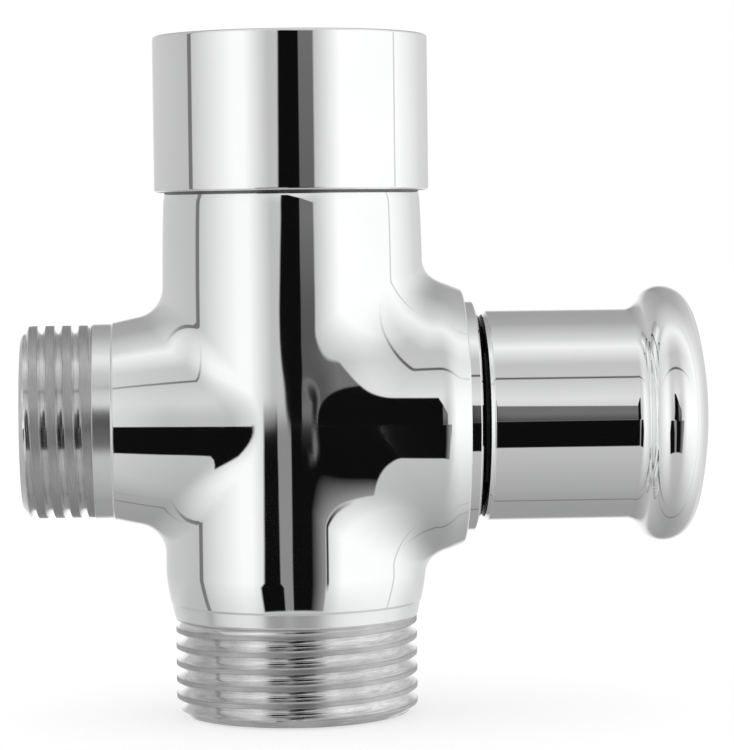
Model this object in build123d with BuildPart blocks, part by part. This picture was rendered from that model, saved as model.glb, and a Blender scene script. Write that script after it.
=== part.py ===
from build123d import *
import math
import os

# Pull-knob shower diverter valve, millimetres.
# The valve stands on its spout outlet: the origin is the centre of that end face, +Z runs up the
# barrel to the inlet socket, and +X runs along the branch axis to the knob.
# Stations named ..._x are measured along the branch axis, ..._z up the barrel.

# Branch axis above the outlet end face, and the overall height
port_z = 32.2
body_height = 73.9

# Cast outside of the body
socket_r = 15.0
socket_ledge_z = 57.05
socket_chamfer = 0.3
barrel_r = 14.25
barrel_neck_r = 13.85
barrel_neck_h = 3.6
barrel_foot_z = 15.6
shoulder_r = 13.85
shoulder_z = 12.5

# Pipe threads, 14 to the inch: outside ones drawn at the major radius, the inlet's at the minor one
thread_depth = 1.162
spout_thread_r = 26.441 / 2
spout_thread_h = 10.6
spout_end_r = 12.3
hose_thread_r = 20.955 / 2
hose_end_r = 9.4
hose_lead = 0.86

# Hose branch, left
hose_end_x = -29.55
hose_nipple_length = 10.05
hose_cast_r = 10.8
hose_root_x = -14.5
hose_root_r = 11.95
hose_fillet = 2.2

# Knob boss, right
boss_face_r = 14.0
boss_waist_r = 13.9
boss_bulge_r = 14.95
boss_bulge_reach = 1.75
boss_taper_length = 2.4
boss_fillet_margin = 0.05

# Water ways
inlet_bore_r = 10.0
inlet_seat_z = 59.6
inlet_relief_r = 13.4
inlet_relief_h = 2.4
inlet_floor_z = 44.4
inlet_mouth_r = 13.7
inlet_pocket_r = 9.0
inlet_pocket_left_x = -7.2
inlet_pocket_right_x = 3.4
inlet_pocket_overlap = 2.0
spout_bore_r = 9.75
spout_bore_top_z = 13.4
spout_chamber_r = 11.6
spout_chamber_top_z = 19.6
spout_pocket_overlap = 5.0
hose_bore_r = 7.0

# Seats and the chamber between them
seat_hole_r = 6.0
seat_lip_r = 6.8
seat_lip_h = 0.6
hose_seat_x = -7.0
hose_seat_wall = 3.0
spout_seat_x = 4.0
chamber_r = 9.5

# Clearances
contact_gap = 0.05
slide_gap = 0.05
thread_gap = 0.05

# Seat cage
cage_bore_r = 10.2
cage_land_length = 3.4
cage_length = 9.4
cage_inner_r = 7.4
cage_front = 1.0
cage_end_ring = 1.4
cage_windows = 4
cage_window_width = 8.0
cage_window_margin = 0.4
gallery_r = 11.0

# O-rings, drawn as squeezed in their grooves
ring_width = 1.6
ring_height = 1.3
ring_fit = 0.03
ring_side_gap = 0.1

# Bonnet
flange_r = 12.6
flange_length = 1.15
flange_chamfer_length = 0.6
flange_tip_r = 11.2
hex_across_flats = 14.0
hex_length = 4.3
neck_r = 7.0
neck_length = 11.0
spring_bore_r = 5.6
spring_bore_depth = 4.2
gland_wall = 0.9
bonnet_ring_setback = 0.5

# Stem
stem_r = 4.0
stem_waist_r = 3.0
stem_tail_r = 2.0
stem_tail_end = 0.5
stem_flange_r = 5.0
stem_flange_x = 6.8
stem_flange_length = 1.2
stem_shoulder_gap = 1.0
stem_tip_r = 3.0
stem_tip_length = 8.0
stem_chamfer = 0.4

# Gland bush
bush_flange_r = 6.4
bush_flange_length = 0.6

# Disc stack on the stem's tail
seal_thickness = 1.8
seal_r = 8.2
disc_web = 1.8
disc_recess = 0.6
disc_rim = 0.5
back_washer_r = 5.6
back_washer_thickness = 0.6
front_washer_r = 5.2
front_washer_thickness = 0.7
tail_nut_flats = 7.0
tail_nut_thickness = 2.2

# Return spring
spring_r = 5.2
spring_wire = 0.9
spring_turns = 4
spring_washer_r = 5.3
spring_washer_thickness = 0.6

# Knob
knob_gap = 0.51
knob_r = 11.55
knob_chamfer = 0.45
neck_arc = 1.71
rim_reach = 19.7
rim_top_r = 14.06
rim_back_arc = 2.79
rim_front_arc = 3.14
rim_front_turn = math.radians(35.5)
edge_arc = 5.46
edge_turn = math.radians(15.5)
knob_wall = 1.7
knob_end_wall = 4.0
hub_r = 5.6
hub_hole_spare = 0.5
lock_nut_flats = 10.0
lock_nut_thickness = 2.4
lock_nut_gap = 0.2

# Inlet washer
washer_r = 12.0
washer_hole_r = 8.5
washer_thickness = 2.0

os.makedirs("parts", exist_ok=True)

port_axis = Axis((0, 0, port_z), (1, 0, 0))
port_plane = Plane(origin=(0, 0, port_z), x_dir=(1, 0, 0), z_dir=(0, -1, 0))

boss_bulge_x = barrel_r + boss_bulge_reach
boss_face_x = boss_bulge_x + boss_taper_length

# The boss fillet takes the room between the barrel's side and the bulge
boss_slope = math.atan((boss_bulge_r - boss_waist_r) / boss_bulge_x)
boss_fillet_run = (boss_bulge_x - barrel_r - boss_fillet_margin) / math.cos(boss_slope)
boss_fillet = boss_fillet_run * math.tan((math.pi / 2 - boss_slope) / 2)

# Threaded ends
hose_cast_x = hose_end_x + hose_nipple_length
inlet_thread_r = spout_thread_r - thread_depth

# Disc stack, from the hose seat to the step on the stem
chamber_x = hose_seat_x - seat_lip_h
hose_seal_x = hose_seat_x + contact_gap
disc_web_x = hose_seal_x + seal_thickness
spout_seal_x = disc_web_x + disc_web
back_washer_x = spout_seal_x + seal_thickness
stem_step_x = back_washer_x + back_washer_thickness
front_washer_x = hose_seal_x - front_washer_thickness
tail_nut_x = front_washer_x - tail_nut_thickness
tail_hole_r = stem_tail_r + thread_gap
disc_pocket_r = seal_r + slide_gap

# Cage, and the bonnet behind it
cage_x = spout_seat_x + seat_lip_h
cage_end_x = cage_x + cage_length
gallery_x = cage_x + cage_land_length
cage_r = cage_bore_r - slide_gap
spigot_r = gallery_r - slide_gap
spigot_x = cage_end_x + contact_gap
flange_end_x = boss_face_x + flange_length + flange_chamfer_length
neck_end_x = boss_face_x + neck_length
spring_bore_end_x = boss_face_x + spring_bore_depth
groove_width = ring_width + 2 * ring_side_gap
cage_groove_x = cage_x + (cage_land_length - groove_width) / 2
bonnet_groove_x = boss_face_x - bonnet_ring_setback - groove_width
stem_groove_x = spring_bore_end_x + gland_wall
gland_x = stem_groove_x + groove_width + gland_wall
bush_x = gland_x + groove_width
stem_hole_r = stem_r + slide_gap
gland_r = stem_r + ring_height
spring_washer_x = stem_flange_x + stem_flange_length + contact_gap
spring_x = spring_washer_x + spring_washer_thickness
stem_shoulder_x = neck_end_x + stem_shoulder_gap
stem_tip_x = stem_shoulder_x + stem_tip_length
tip_hole_r = stem_tip_r + thread_gap
hub_x = stem_shoulder_x + lock_nut_gap + lock_nut_thickness
knob_start_x = flange_end_x + knob_gap
rim_x = knob_start_x + rim_reach
cavity_r = knob_r - knob_wall


def band(start, end, inner_r, outer_r, mode=Mode.ADD):
    """Section of a ring or a bore between two stations along the turning axis."""
    with Locations(((start + end) / 2, (inner_r + outer_r) / 2)):
        return Rectangle(end - start, outer_r - inner_r, mode=mode)


def squeezed_ring(groove_x, inner_r):
    """Section of an O-ring squeezed flat in its groove."""
    start = groove_x + ring_side_gap
    band(start, start + ring_width, inner_r + ring_fit, inner_r + ring_height - ring_fit)


# Valve body: one casting, machined at its ports
with BuildPart() as valve_body:
    with BuildSketch(Plane.XZ):
        with BuildLine():
            foot = Line((0, 0), (spout_end_r, 0))
            lead = Line(foot @ 1, (spout_thread_r, spout_thread_r - spout_end_r))
            crest = Line(lead @ 1, (spout_thread_r, spout_thread_h))
            cone = Line(crest @ 1, (shoulder_r, shoulder_z))
            TangentArc((barrel_r, barrel_foot_z), cone @ 1, tangent=(0, -1))
            side = Line((barrel_r, barrel_foot_z), (barrel_r, socket_ledge_z - barrel_neck_h))
            neck = TangentArc(side @ 1, (barrel_neck_r, socket_ledge_z), tangent=(0, 1))
            ledge = Line(neck @ 1, (socket_r, socket_ledge_z))
            wall = Line(ledge @ 1, (socket_r, body_height))
            top = Line(wall @ 1, (0, body_height))
            Line(top @ 1, (0, 0))
        make_face()
        chamfer([v for v in vertices() if abs(v.X - socket_r) < 0.01], socket_chamfer)
    revolve(axis=Axis.Z)
    with BuildSketch(port_plane):
        with BuildLine():
            end = Line((hose_end_x, 0), (hose_end_x, hose_end_r))
            lead = Line(end @ 1, (hose_end_x + hose_lead, hose_thread_r))
            crest = Line(lead @ 1, (hose_cast_x, hose_thread_r))
            rise = Line(crest @ 1, (hose_cast_x, hose_cast_r))
            flare = Line(rise @ 1, (hose_root_x, hose_root_r))
            root = Line(flare @ 1, (0, hose_root_r))
            middle = Line(root @ 1, (0, 0))
            Line(middle @ 1, (hose_end_x, 0))
        make_face()
    revolve(axis=port_axis)
    with BuildSketch(port_plane):
        with BuildLine():
            waist = Line((0, 0), (0, boss_waist_r))
            swell = Line(waist @ 1, (boss_bulge_x, boss_bulge_r))
            taper = Line(swell @ 1, (boss_face_x, boss_face_r))
            front = Line(taper @ 1, (boss_face_x, 0))
            Line(front @ 1, (0, 0))
        make_face()
    revolve(axis=port_axis)
    creases = edges().filter_by(lambda e: e.geom_type not in (GeomType.CIRCLE, GeomType.LINE))
    fillet(creases.filter_by(lambda e: e.center().X < 0), hose_fillet)
    fillet(creases.filter_by(lambda e: e.center().X > 0 and e.length > boss_waist_r), boss_fillet)

    # Branch bores, hose seat, chamber, cage bore and gallery, turned about the branch axis
    with BuildSketch(port_plane):
        band(hose_end_x, chamber_x - hose_seat_wall, 0, hose_bore_r)
        band(chamber_x - hose_seat_wall, chamber_x, 0, seat_hole_r)
        band(chamber_x, cage_x, 0, chamber_r)
        band(chamber_x, hose_seat_x, seat_hole_r, seat_lip_r, mode=Mode.SUBTRACT)
        band(cage_x, gallery_x, 0, cage_bore_r)
        band(gallery_x, boss_face_x, 0, gallery_r)
    revolve(axis=port_axis, mode=Mode.SUBTRACT)

    # Inlet socket and bore, spout bore and chamber, turned about the barrel axis
    with BuildSketch(Plane.XZ):
        with BuildLine():
            Polyline(
                (0, inlet_floor_z),
                (inlet_bore_r, inlet_floor_z),
                (inlet_bore_r, inlet_seat_z),
                (inlet_relief_r, inlet_seat_z),
                (inlet_relief_r, inlet_seat_z + inlet_relief_h),
                (inlet_thread_r, inlet_seat_z + inlet_relief_h),
                (inlet_thread_r, body_height - (inlet_mouth_r - inlet_thread_r)),
                (inlet_mouth_r, body_height),
                (0, body_height),
                close=True,
            )
        make_face()
    revolve(axis=Axis.Z, mode=Mode.SUBTRACT)
    with BuildSketch(Plane.XZ):
        with BuildLine():
            Polyline(
                (0, 0),
                (spout_bore_r, 0),
                (spout_bore_r, spout_bore_top_z),
                (spout_chamber_r, spout_bore_top_z),
                (spout_chamber_r, spout_chamber_top_z),
                (0, spout_chamber_top_z),
                close=True,
            )
        make_face()
    revolve(axis=Axis.Z, mode=Mode.SUBTRACT)

    # Cored passages: inlet down to the chamber, gallery down to the spout chamber
    with BuildSketch(Plane.XY.offset(port_z + inlet_pocket_overlap)):
        Circle(inlet_pocket_r)
        with Locations(((inlet_pocket_left_x + inlet_pocket_right_x) / 2, 0)):
            Rectangle(inlet_pocket_right_x - inlet_pocket_left_x, 2 * inlet_pocket_r, mode=Mode.INTERSECT)
    extrude(amount=inlet_floor_z - port_z - inlet_pocket_overlap, mode=Mode.SUBTRACT)
    with BuildSketch(Plane.XY.offset(spout_chamber_top_z)):
        Circle(spout_chamber_r)
        with Locations((gallery_x + spout_chamber_r / 2, 0)):
            Rectangle(spout_chamber_r, 2 * spout_chamber_r, mode=Mode.INTERSECT)
    extrude(amount=port_z - spout_pocket_overlap - spout_chamber_top_z, mode=Mode.SUBTRACT)

valve_body.part.label = "valve_body"
export_step(valve_body.part, "parts/valve_body.step")


# Inlet washer: flat sealing ring on the floor of the socket
with BuildPart() as inlet_washer:
    with BuildSketch(Plane.XY.offset(inlet_seat_z + contact_gap)):
        Circle(washer_r)
        Circle(washer_hole_r, mode=Mode.SUBTRACT)
    extrude(amount=washer_thickness)
inlet_washer.part.label = "inlet_washer"
export_step(inlet_washer.part, "parts/inlet_washer.step")


# Seat cage: carries the spout seat, and lets the water out through its windows
with BuildPart() as seat_cage:
    with BuildSketch(port_plane):
        band(spout_seat_x, cage_x, seat_hole_r, seat_lip_r)
        band(cage_x, cage_end_x, cage_inner_r, cage_r)
        band(cage_x, cage_x + cage_front, seat_hole_r, cage_inner_r)
        band(cage_end_x - cage_end_ring, cage_end_x, cage_r, spigot_r)
        groove_floor_r = cage_bore_r - ring_height
        band(cage_groove_x, cage_groove_x + groove_width, groove_floor_r, cage_r, mode=Mode.SUBTRACT)
    revolve(axis=port_axis)
    window_x = gallery_x + cage_window_margin
    with BuildSketch(Plane(origin=(window_x, 0, port_z), x_dir=(0, 1, 0), z_dir=(1, 0, 0))):
        with PolarLocations(cage_r, cage_windows):
            Rectangle(2 * (cage_r - stem_flange_r), cage_window_width)
    extrude(amount=cage_end_x - cage_end_ring - window_x, mode=Mode.SUBTRACT)
seat_cage.part.label = "seat_cage"
export_step(seat_cage.part, "parts/seat_cage.step")

with BuildPart() as cage_o_ring:
    with BuildSketch(port_plane):
        squeezed_ring(cage_groove_x, cage_bore_r - ring_height)
    revolve(axis=port_axis)
cage_o_ring.part.label = "cage_o_ring"
export_step(cage_o_ring.part, "parts/cage_o_ring.step")


# Bonnet: closes the boss, holds the spring and guides the stem
with BuildPart() as bonnet:
    with BuildSketch(port_plane):
        with BuildLine():
            Polyline(
                (spigot_x, spring_bore_r),
                (spigot_x, spigot_r),
                (boss_face_x, spigot_r),
                (boss_face_x, flange_r),
                (boss_face_x + flange_length, flange_r),
                (flange_end_x, flange_tip_r),
                (flange_end_x, neck_r),
                (neck_end_x, neck_r),
                (neck_end_x, gland_r),
                (gland_x, gland_r),
                (gland_x, stem_hole_r),
                (spring_bore_end_x, stem_hole_r),
                (spring_bore_end_x, spring_bore_r),
                close=True,
            )
        make_face()
        groove_floor_r = gallery_r - ring_height
        band(bonnet_groove_x, bonnet_groove_x + groove_width, groove_floor_r, spigot_r, mode=Mode.SUBTRACT)
        band(stem_groove_x, stem_groove_x + groove_width, stem_hole_r, gland_r, mode=Mode.SUBTRACT)
    revolve(axis=port_axis)
    with BuildSketch(Plane(origin=(flange_end_x, 0, port_z), x_dir=(0, 1, 0), z_dir=(1, 0, 0))):
        RegularPolygon(hex_across_flats / 2, 6, major_radius=False)
        Circle(spring_bore_r, mode=Mode.SUBTRACT)
    extrude(amount=min(hex_length, spring_bore_end_x - flange_end_x))
bonnet.part.label = "bonnet"
export_step(bonnet.part, "parts/bonnet.step")

with BuildPart() as bonnet_o_ring:
    with BuildSketch(port_plane):
        squeezed_ring(bonnet_groove_x, gallery_r - ring_height)
    revolve(axis=port_axis)
bonnet_o_ring.part.label = "bonnet_o_ring"
export_step(bonnet_o_ring.part, "parts/bonnet_o_ring.step")

with BuildPart() as stem_o_ring_inner:
    with BuildSketch(port_plane):
        squeezed_ring(stem_groove_x, stem_r)
    revolve(axis=port_axis)
stem_o_ring_inner.part.label = "stem_o_ring_inner"
export_step(stem_o_ring_inner.part, "parts/stem_o_ring_inner.step")

with BuildPart() as stem_o_ring_outer:
    with BuildSketch(port_plane):
        squeezed_ring(gland_x, stem_r)
    revolve(axis=port_axis)
stem_o_ring_outer.part.label = "stem_o_ring_outer"
export_step(stem_o_ring_outer.part, "parts/stem_o_ring_outer.step")

with BuildPart() as gland_bush:
    with BuildSketch(port_plane):
        band(bush_x, neck_end_x + bush_flange_length, stem_hole_r, gland_r - slide_gap)
        band(neck_end_x, neck_end_x + bush_flange_length, stem_hole_r, bush_flange_r)
    revolve(axis=port_axis)
gland_bush.part.label = "gland_bush"
export_step(gland_bush.part, "parts/gland_bush.step")


# Stem: pulls the disc stack from the hose seat to the spout seat
with BuildPart() as stem:
    with BuildSketch(port_plane):
        band(tail_nut_x - stem_tail_end, stem_step_x, 0, stem_tail_r)
        band(stem_step_x, stem_flange_x, 0, stem_waist_r)
        band(stem_flange_x, stem_flange_x + stem_flange_length, 0, stem_flange_r)
        band(stem_flange_x, stem_shoulder_x, 0, stem_r)
        band(stem_shoulder_x, stem_tip_x, 0, stem_tip_r)
        ends = vertices().group_by(Axis.X)
        chamfer([ends[0].sort_by(Axis.Y)[-1], ends[-1].sort_by(Axis.Y)[-1]], stem_chamfer)
    revolve(axis=port_axis)
stem.part.label = "stem"
export_step(stem.part, "parts/stem.step")

with BuildPart() as spring_washer:
    with BuildSketch(port_plane):
        band(spring_washer_x, spring_x, stem_hole_r, spring_washer_r)
    revolve(axis=port_axis)
spring_washer.part.label = "spring_washer"
export_step(spring_washer.part, "parts/spring_washer.step")

spring_length = spring_bore_end_x - spring_x - 2 * contact_gap
with BuildPart() as return_spring:
    with BuildLine() as coil:
        Helix(
            pitch=(spring_length - spring_wire) / spring_turns,
            height=spring_length - spring_wire,
            radius=spring_r - spring_wire / 2,
            center=(spring_x + contact_gap + spring_wire / 2, 0, port_z),
            direction=(1, 0, 0),
        )
    start = coil.line @ 0
    outward = start - Vector(start.X, 0, port_z)
    with BuildSketch(Plane(origin=start, x_dir=outward, z_dir=coil.line % 0)):
        Rectangle(spring_wire, spring_wire)
    sweep(path=coil.line, is_frenet=True)
return_spring.part.label = "return_spring"
export_step(return_spring.part, "parts/return_spring.step")


# Disc stack on the stem's tail, from the step outwards
with BuildPart() as back_washer:
    with BuildSketch(port_plane):
        band(back_washer_x, stem_step_x, tail_hole_r, back_washer_r)
    revolve(axis=port_axis)
back_washer.part.label = "back_washer"
export_step(back_washer.part, "parts/back_washer.step")

with BuildPart() as spout_seal:
    with BuildSketch(port_plane):
        band(spout_seal_x, back_washer_x, tail_hole_r, seal_r)
    revolve(axis=port_axis)
spout_seal.part.label = "spout_seal"
export_step(spout_seal.part, "parts/spout_seal.step")

with BuildPart() as valve_disc:
    with BuildSketch(port_plane):
        band(disc_web_x - disc_recess, spout_seal_x + disc_recess, disc_pocket_r, disc_pocket_r + disc_rim)
        band(disc_web_x, spout_seal_x, tail_hole_r, disc_pocket_r)
    revolve(axis=port_axis)
valve_disc.part.label = "valve_disc"
export_step(valve_disc.part, "parts/valve_disc.step")

with BuildPart() as hose_seal:
    with BuildSketch(port_plane):
        band(hose_seal_x, disc_web_x, tail_hole_r, seal_r)
    revolve(axis=port_axis)
hose_seal.part.label = "hose_seal"
export_step(hose_seal.part, "parts/hose_seal.step")

with BuildPart() as front_washer:
    with BuildSketch(port_plane):
        band(front_washer_x, hose_seal_x, tail_hole_r, front_washer_r)
    revolve(axis=port_axis)
front_washer.part.label = "front_washer"
export_step(front_washer.part, "parts/front_washer.step")

with BuildPart() as tail_nut:
    with BuildSketch(Plane(origin=(tail_nut_x, 0, port_z), x_dir=(0, 1, 0), z_dir=(1, 0, 0))):
        RegularPolygon(tail_nut_flats / 2, 6, major_radius=False)
        Circle(tail_hole_r, mode=Mode.SUBTRACT)
    extrude(amount=tail_nut_thickness)
tail_nut.part.label = "tail_nut"
export_step(tail_nut.part, "parts/tail_nut.step")


# Knob: hollow turning with a bulging rim, its hub screwed on the stem and locked by a nut
rim_back_r = rim_top_r - rim_back_arc
neck_centre_r = knob_r + neck_arc
neck_reach = math.sqrt((rim_back_arc + neck_arc) ** 2 - (neck_centre_r - rim_back_r) ** 2)
neck_x = rim_x - neck_reach
touch_share = neck_arc / (neck_arc + rim_back_arc)
touch_point = (neck_x + touch_share * neck_reach, neck_centre_r + touch_share * (rim_back_r - neck_centre_r))

# Each arc of the front ends where its normal leans that far from the turning axis
edge_x = rim_x + rim_front_arc * math.cos(rim_front_turn)
edge_r = rim_top_r - rim_front_arc * (1 - math.sin(rim_front_turn))
dome_x = edge_x + edge_arc * (math.cos(edge_turn) - math.cos(rim_front_turn))
dome_r = edge_r - edge_arc * (math.sin(rim_front_turn) - math.sin(edge_turn))
knob_face_x = dome_x + dome_r * (1 - math.cos(edge_turn)) / math.sin(edge_turn)
cavity_end_x = knob_face_x - knob_end_wall

with BuildPart() as knob:
    with BuildSketch(port_plane):
        with BuildLine():
            lip = Line((knob_start_x, 0), (knob_start_x, knob_r - knob_chamfer))
            bevel = Line(lip @ 1, (knob_start_x + knob_chamfer, knob_r))
            skirt = Line(bevel @ 1, (neck_x, knob_r))
            neck = TangentArc(skirt @ 1, touch_point, tangent=skirt % 1)
            back = TangentArc(neck @ 1, (rim_x, rim_top_r), tangent=neck % 1)
            front = TangentArc(back @ 1, (edge_x, edge_r), tangent=back % 1)
            edge = TangentArc(front @ 1, (dome_x, dome_r), tangent=front % 1)
            face = TangentArc(edge @ 1, (knob_face_x, 0), tangent=edge % 1)
            Line(face @ 1, lip @ 0)
        make_face()
        band(knob_start_x, hub_x, 0, cavity_r, mode=Mode.SUBTRACT)
        band(hub_x, cavity_end_x, hub_r, cavity_r, mode=Mode.SUBTRACT)
        band(hub_x, stem_tip_x + hub_hole_spare, 0, tip_hole_r, mode=Mode.SUBTRACT)
    revolve(axis=port_axis)
knob.part.label = "knob"
export_step(knob.part, "parts/knob.step")

with BuildPart() as knob_lock_nut:
    with BuildSketch(Plane(origin=(hub_x - lock_nut_thickness, 0, port_z), x_dir=(0, 1, 0), z_dir=(1, 0, 0))):
        RegularPolygon(lock_nut_flats / 2, 6, major_radius=False)
        Circle(tip_hole_r, mode=Mode.SUBTRACT)
    extrude(amount=lock_nut_thickness)
knob_lock_nut.part.label = "knob_lock_nut"
export_step(knob_lock_nut.part, "parts/knob_lock_nut.step")
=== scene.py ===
import math

import bmesh
import bpy
import numpy as np
from mathutils import Matrix, Vector


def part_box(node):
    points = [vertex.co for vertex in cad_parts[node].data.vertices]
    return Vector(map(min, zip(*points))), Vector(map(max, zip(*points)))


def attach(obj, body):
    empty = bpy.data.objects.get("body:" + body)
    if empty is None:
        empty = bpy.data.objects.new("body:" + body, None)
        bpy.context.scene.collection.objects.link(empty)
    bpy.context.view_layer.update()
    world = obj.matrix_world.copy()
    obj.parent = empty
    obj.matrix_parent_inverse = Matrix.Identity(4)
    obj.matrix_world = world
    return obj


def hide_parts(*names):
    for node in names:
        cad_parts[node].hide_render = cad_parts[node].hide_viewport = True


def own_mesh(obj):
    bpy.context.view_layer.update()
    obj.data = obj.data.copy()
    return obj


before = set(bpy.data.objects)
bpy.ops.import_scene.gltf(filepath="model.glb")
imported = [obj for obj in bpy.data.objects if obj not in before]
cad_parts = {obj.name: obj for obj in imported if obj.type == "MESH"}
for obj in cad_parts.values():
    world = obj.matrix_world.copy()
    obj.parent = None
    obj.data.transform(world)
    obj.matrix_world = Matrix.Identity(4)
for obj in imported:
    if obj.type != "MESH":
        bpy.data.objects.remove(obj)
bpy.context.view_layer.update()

# All shapes below are worked out in millimetres and stored in metres
MM = 0.001
AXIS_Z = 32.2
PITCH = 25.4 / 14
TURN = 2 * math.pi
SHARP_DEGREES = 30.0


# Node materials

def node_tree(name):
    material = bpy.data.materials.new(name)
    material.use_nodes = True
    tree = material.node_tree
    shader = tree.nodes["Principled BSDF"]
    return material, tree, shader


def add_node(tree, kind, settings=None, inputs=None):
    node = tree.nodes.new(kind)
    for key, value in (settings or {}).items():
        setattr(node, key, value)
    for key, value in (inputs or {}).items():
        if isinstance(value, bpy.types.NodeSocket):
            tree.links.new(value, node.inputs[key])
        else:
            node.inputs[key].default_value = value
    return node


def grey(value):
    return (value, value, value, 1.0)


def maths(tree, operation, a, b=0.0):
    return add_node(tree, "ShaderNodeMath", {"operation": operation}, {0: a, 1: b}).outputs[0]


def vector_maths(tree, operation, inputs):
    return add_node(tree, "ShaderNodeVectorMath", {"operation": operation}, inputs).outputs


def remap(tree, value, low, high, to_low=0.0, to_high=1.0):
    """The value's range from low to high moved to another range, and held at its ends."""
    inputs = {"Value": value, "From Min": low, "From Max": high, "To Min": to_low, "To Max": to_high}
    return add_node(tree, "ShaderNodeMapRange", inputs=inputs).outputs["Result"]


def ramp(tree, factor, stops):
    node = add_node(tree, "ShaderNodeValToRGB", inputs={"Fac": factor})
    elements = node.color_ramp.elements
    while len(elements) > 1:
        elements.remove(elements[-1])
    for index, (place, colour) in enumerate(stops):
        element = elements[0] if index == 0 else elements.new(place)
        element.position = place
        element.color = colour if isinstance(colour, tuple) else grey(colour)
    return node.outputs["Color"]


# How noise is stretched: evenly, or into lines round an axis
EVEN = (1.0, 1.0, 1.0)
ALONG_X = (30.0, 1.0, 1.0)
ALONG_Z = (1.0, 1.0, 30.0)
# Noise features per metre
WAVE_SCALE = 110.0
CLOUD_SCALE = 90.0
PATCH_SCALE = 160.0
FINE_PATCH_SCALE = 260.0
LINE_SCALE = 400.0
# Depth in metres of tool lines and of a mould's grain
MARK_DEPTH = 0.00001
# Depths in millimetres below a thread's crest between which its dull finish fades
FADE_START = 0.03
FADE_END = 0.12
# Tone and roughness of a thread's flanks and of its crests
FLANK_TONE = 0.97
CREST_TONE = 0.6
FLANK_ROUGH = 0.13
CREST_ROUGH = 0.42


def stretched_noise(tree, stretch, scale, detail=3.0):
    place = add_node(tree, "ShaderNodeTexCoord").outputs["Object"]
    mapped = add_node(tree, "ShaderNodeMapping", inputs={"Vector": place, "Scale": stretch})
    inputs = {"Vector": mapped.outputs["Vector"], "Scale": scale, "Detail": detail}
    return add_node(tree, "ShaderNodeTexNoise", inputs=inputs).outputs["Fac"]


def bump(tree, shader, height, strength, distance):
    inputs = {"Height": height, "Strength": strength, "Distance": distance}
    node = add_node(tree, "ShaderNodeBump", inputs=inputs)
    tree.links.new(node.outputs["Normal"], shader.inputs["Normal"])


def metal_tree(name):
    material, tree, shader = node_tree(name)
    shader.inputs["Metallic"].default_value = 1.0
    return material, tree, shader


def chrome(name, low, high, haze, ripple):
    """Polished chrome: a clear mirror with the faint haze and ripple left by the polishing wheel. Dark
    colours with a strong haze make it painted shade.
    """
    material, tree, shader = metal_tree(name)
    cloud = stretched_noise(tree, EVEN, CLOUD_SCALE, 4.0)
    tree.links.new(ramp(tree, cloud, [(0.3, low), (0.7, high)]), shader.inputs["Base Color"])
    rough = ramp(tree, cloud, [(0.35, haze * 0.7), (0.7, haze)])
    tree.links.new(rough, shader.inputs["Roughness"])
    waves = stretched_noise(tree, EVEN, WAVE_SCALE, 1.0)
    bump(tree, shader, waves, 1.0, ripple)
    return material


def machined(name, low, high, rough_low, rough_high, stretch):
    """Turned metal: fine tool lines that run round the part."""
    material, tree, shader = metal_tree(name)
    lines = stretched_noise(tree, stretch, LINE_SCALE)
    patches = stretched_noise(tree, EVEN, PATCH_SCALE)
    both = maths(tree, "MULTIPLY", lines, patches)
    tree.links.new(ramp(tree, both, [(0.15, low), (0.38, high)]), shader.inputs["Base Color"])
    rough = ramp(tree, both, [(0.15, rough_high), (0.38, rough_low)])
    tree.links.new(rough, shader.inputs["Roughness"])
    bump(tree, shader, lines, 0.35, MARK_DEPTH)
    return material


def threaded(name, stretch, centre, across, crest_radius):
    """Cut thread: dull crests and brighter flanks, told apart by their distance from the axis."""
    material, tree, shader = metal_tree(name)
    lines = stretched_noise(tree, stretch, LINE_SCALE)
    patches = stretched_noise(tree, EVEN, FINE_PATCH_SCALE)
    place = add_node(tree, "ShaderNodeTexCoord").outputs["Object"]
    moved = vector_maths(tree, "SUBTRACT", {0: place, 1: centre})["Vector"]
    flat = vector_maths(tree, "MULTIPLY", {0: moved, 1: across})["Vector"]
    radius = vector_maths(tree, "LENGTH", {0: flat})["Value"]

    def by_radius(flank, crest):
        low = (crest_radius - FADE_END) * MM
        high = (crest_radius - FADE_START) * MM
        return remap(tree, radius, low, high, flank, crest)

    def by_noise(noise, low, high):
        return remap(tree, noise, 0.35, 0.65, low, high)

    grain = maths(tree, "MULTIPLY", by_noise(lines, 0.85, 1.0), by_noise(patches, 0.88, 1.0))
    tone = maths(tree, "MULTIPLY", by_radius(FLANK_TONE, CREST_TONE), grain)
    tree.links.new(tone, shader.inputs["Base Color"])
    rough = maths(tree, "MULTIPLY", by_radius(FLANK_ROUGH, CREST_ROUGH), by_noise(patches, 1.2, 0.8))
    tree.links.new(rough, shader.inputs["Roughness"])
    bump(tree, shader, lines, 0.35, MARK_DEPTH)
    return material


def moulded(name, low, high, rough_low, rough_high, scale):
    """Rubber or plastic out of a mould: a fine grain and slightly uneven gloss."""
    material, tree, shader = node_tree(name)
    grain = stretched_noise(tree, EVEN, scale, 4.0)
    tree.links.new(ramp(tree, grain, [(0.3, low), (0.7, high)]), shader.inputs["Base Color"])
    rough = ramp(tree, grain, [(0.3, rough_low), (0.7, rough_high)])
    tree.links.new(rough, shader.inputs["Roughness"])
    bump(tree, shader, grain, 0.3, MARK_DEPTH)
    return material


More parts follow.
